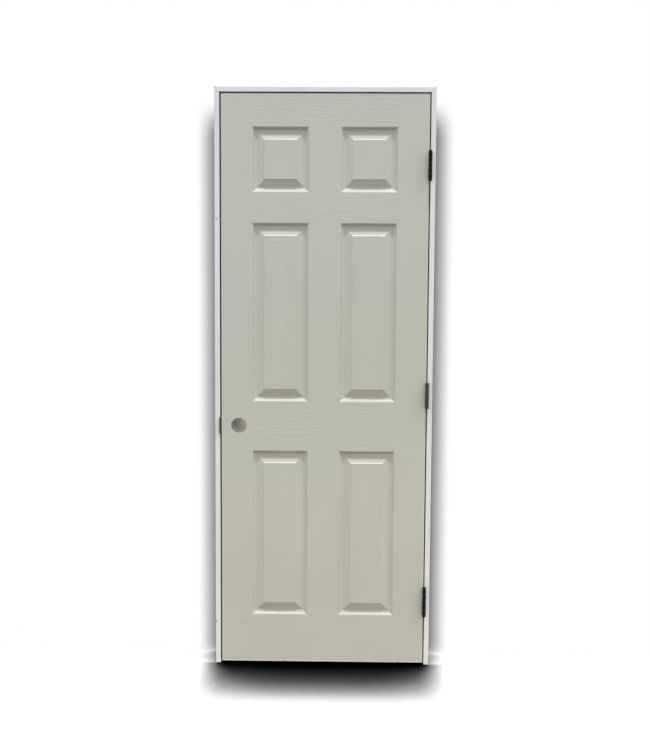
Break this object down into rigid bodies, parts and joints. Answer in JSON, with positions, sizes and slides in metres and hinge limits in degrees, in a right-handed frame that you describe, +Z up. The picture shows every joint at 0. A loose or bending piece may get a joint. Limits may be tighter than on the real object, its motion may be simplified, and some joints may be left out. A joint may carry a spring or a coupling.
{
  "type": "prehung interior door",
  "caption": "Hollow-core raised-panel interior door hung in its jamb frame on butt hinges, with an open lockset bore and a strike plate.",
  "frame": {"origin": "on the outer face of the hinge jamb, at the middle of its width and of its height", "axes": "+Z up; +X out of the hinge jamb's outer face, to the right seen from the pull side; the pull side, with the hinge barrels, faces -Y"},
  "size_m": [0.7552, 0.1366, 2.01],
  "materials": {
    "slab_skin": "pressed hardboard with an embossed wood grain, painted warm grey in satin",
    "slab_core_timber": "bare finger-jointed pine, overpainted warm grey on the slab's edges",
    "frame_paint": "pine primed and painted white in satin",
    "black_hinge": "steel with a worn satin black finish",
    "bronze_hinge": "steel with a dark oil-rubbed bronze finish",
    "strike_steel": "dull satin nickel plate"
  },
  "bodies": {
    "frame": {"strike_jamb": "frame_paint", "hinge_jamb": "frame_paint", "head_jamb": "frame_paint", "strike_stop": "frame_paint", "hinge_stop": "frame_paint", "head_stop": "frame_paint", "top_hinge_jamb_leaf": "black_hinge", "top_hinge_pin": "black_hinge", "bottom_hinge_jamb_leaf": "black_hinge", "bottom_hinge_pin": "black_hinge", "middle_hinge_jamb_leaf": "bronze_hinge", "middle_hinge_pin": "bronze_hinge", "strike_plate": "strike_steel"},
    "door": {"front_skin": "slab_skin", "back_skin": "slab_skin", "hinge_stile": "slab_core_timber", "lock_stile": "slab_core_timber", "top_rail": "slab_core_timber", "bottom_rail": "slab_core_timber", "lock_block": "slab_core_timber", "top_hinge_door_leaf": "black_hinge", "middle_hinge_door_leaf": "bronze_hinge", "bottom_hinge_door_leaf": "black_hinge"}
  },
  "joints": [
    {"name": "door_swing", "type": "hinge", "parent": "frame", "child": "door", "pos_m": [-0.0195, -0.07225, 0], "axis": [0, 0, 1], "range_deg": [0, 180]}
  ]
}
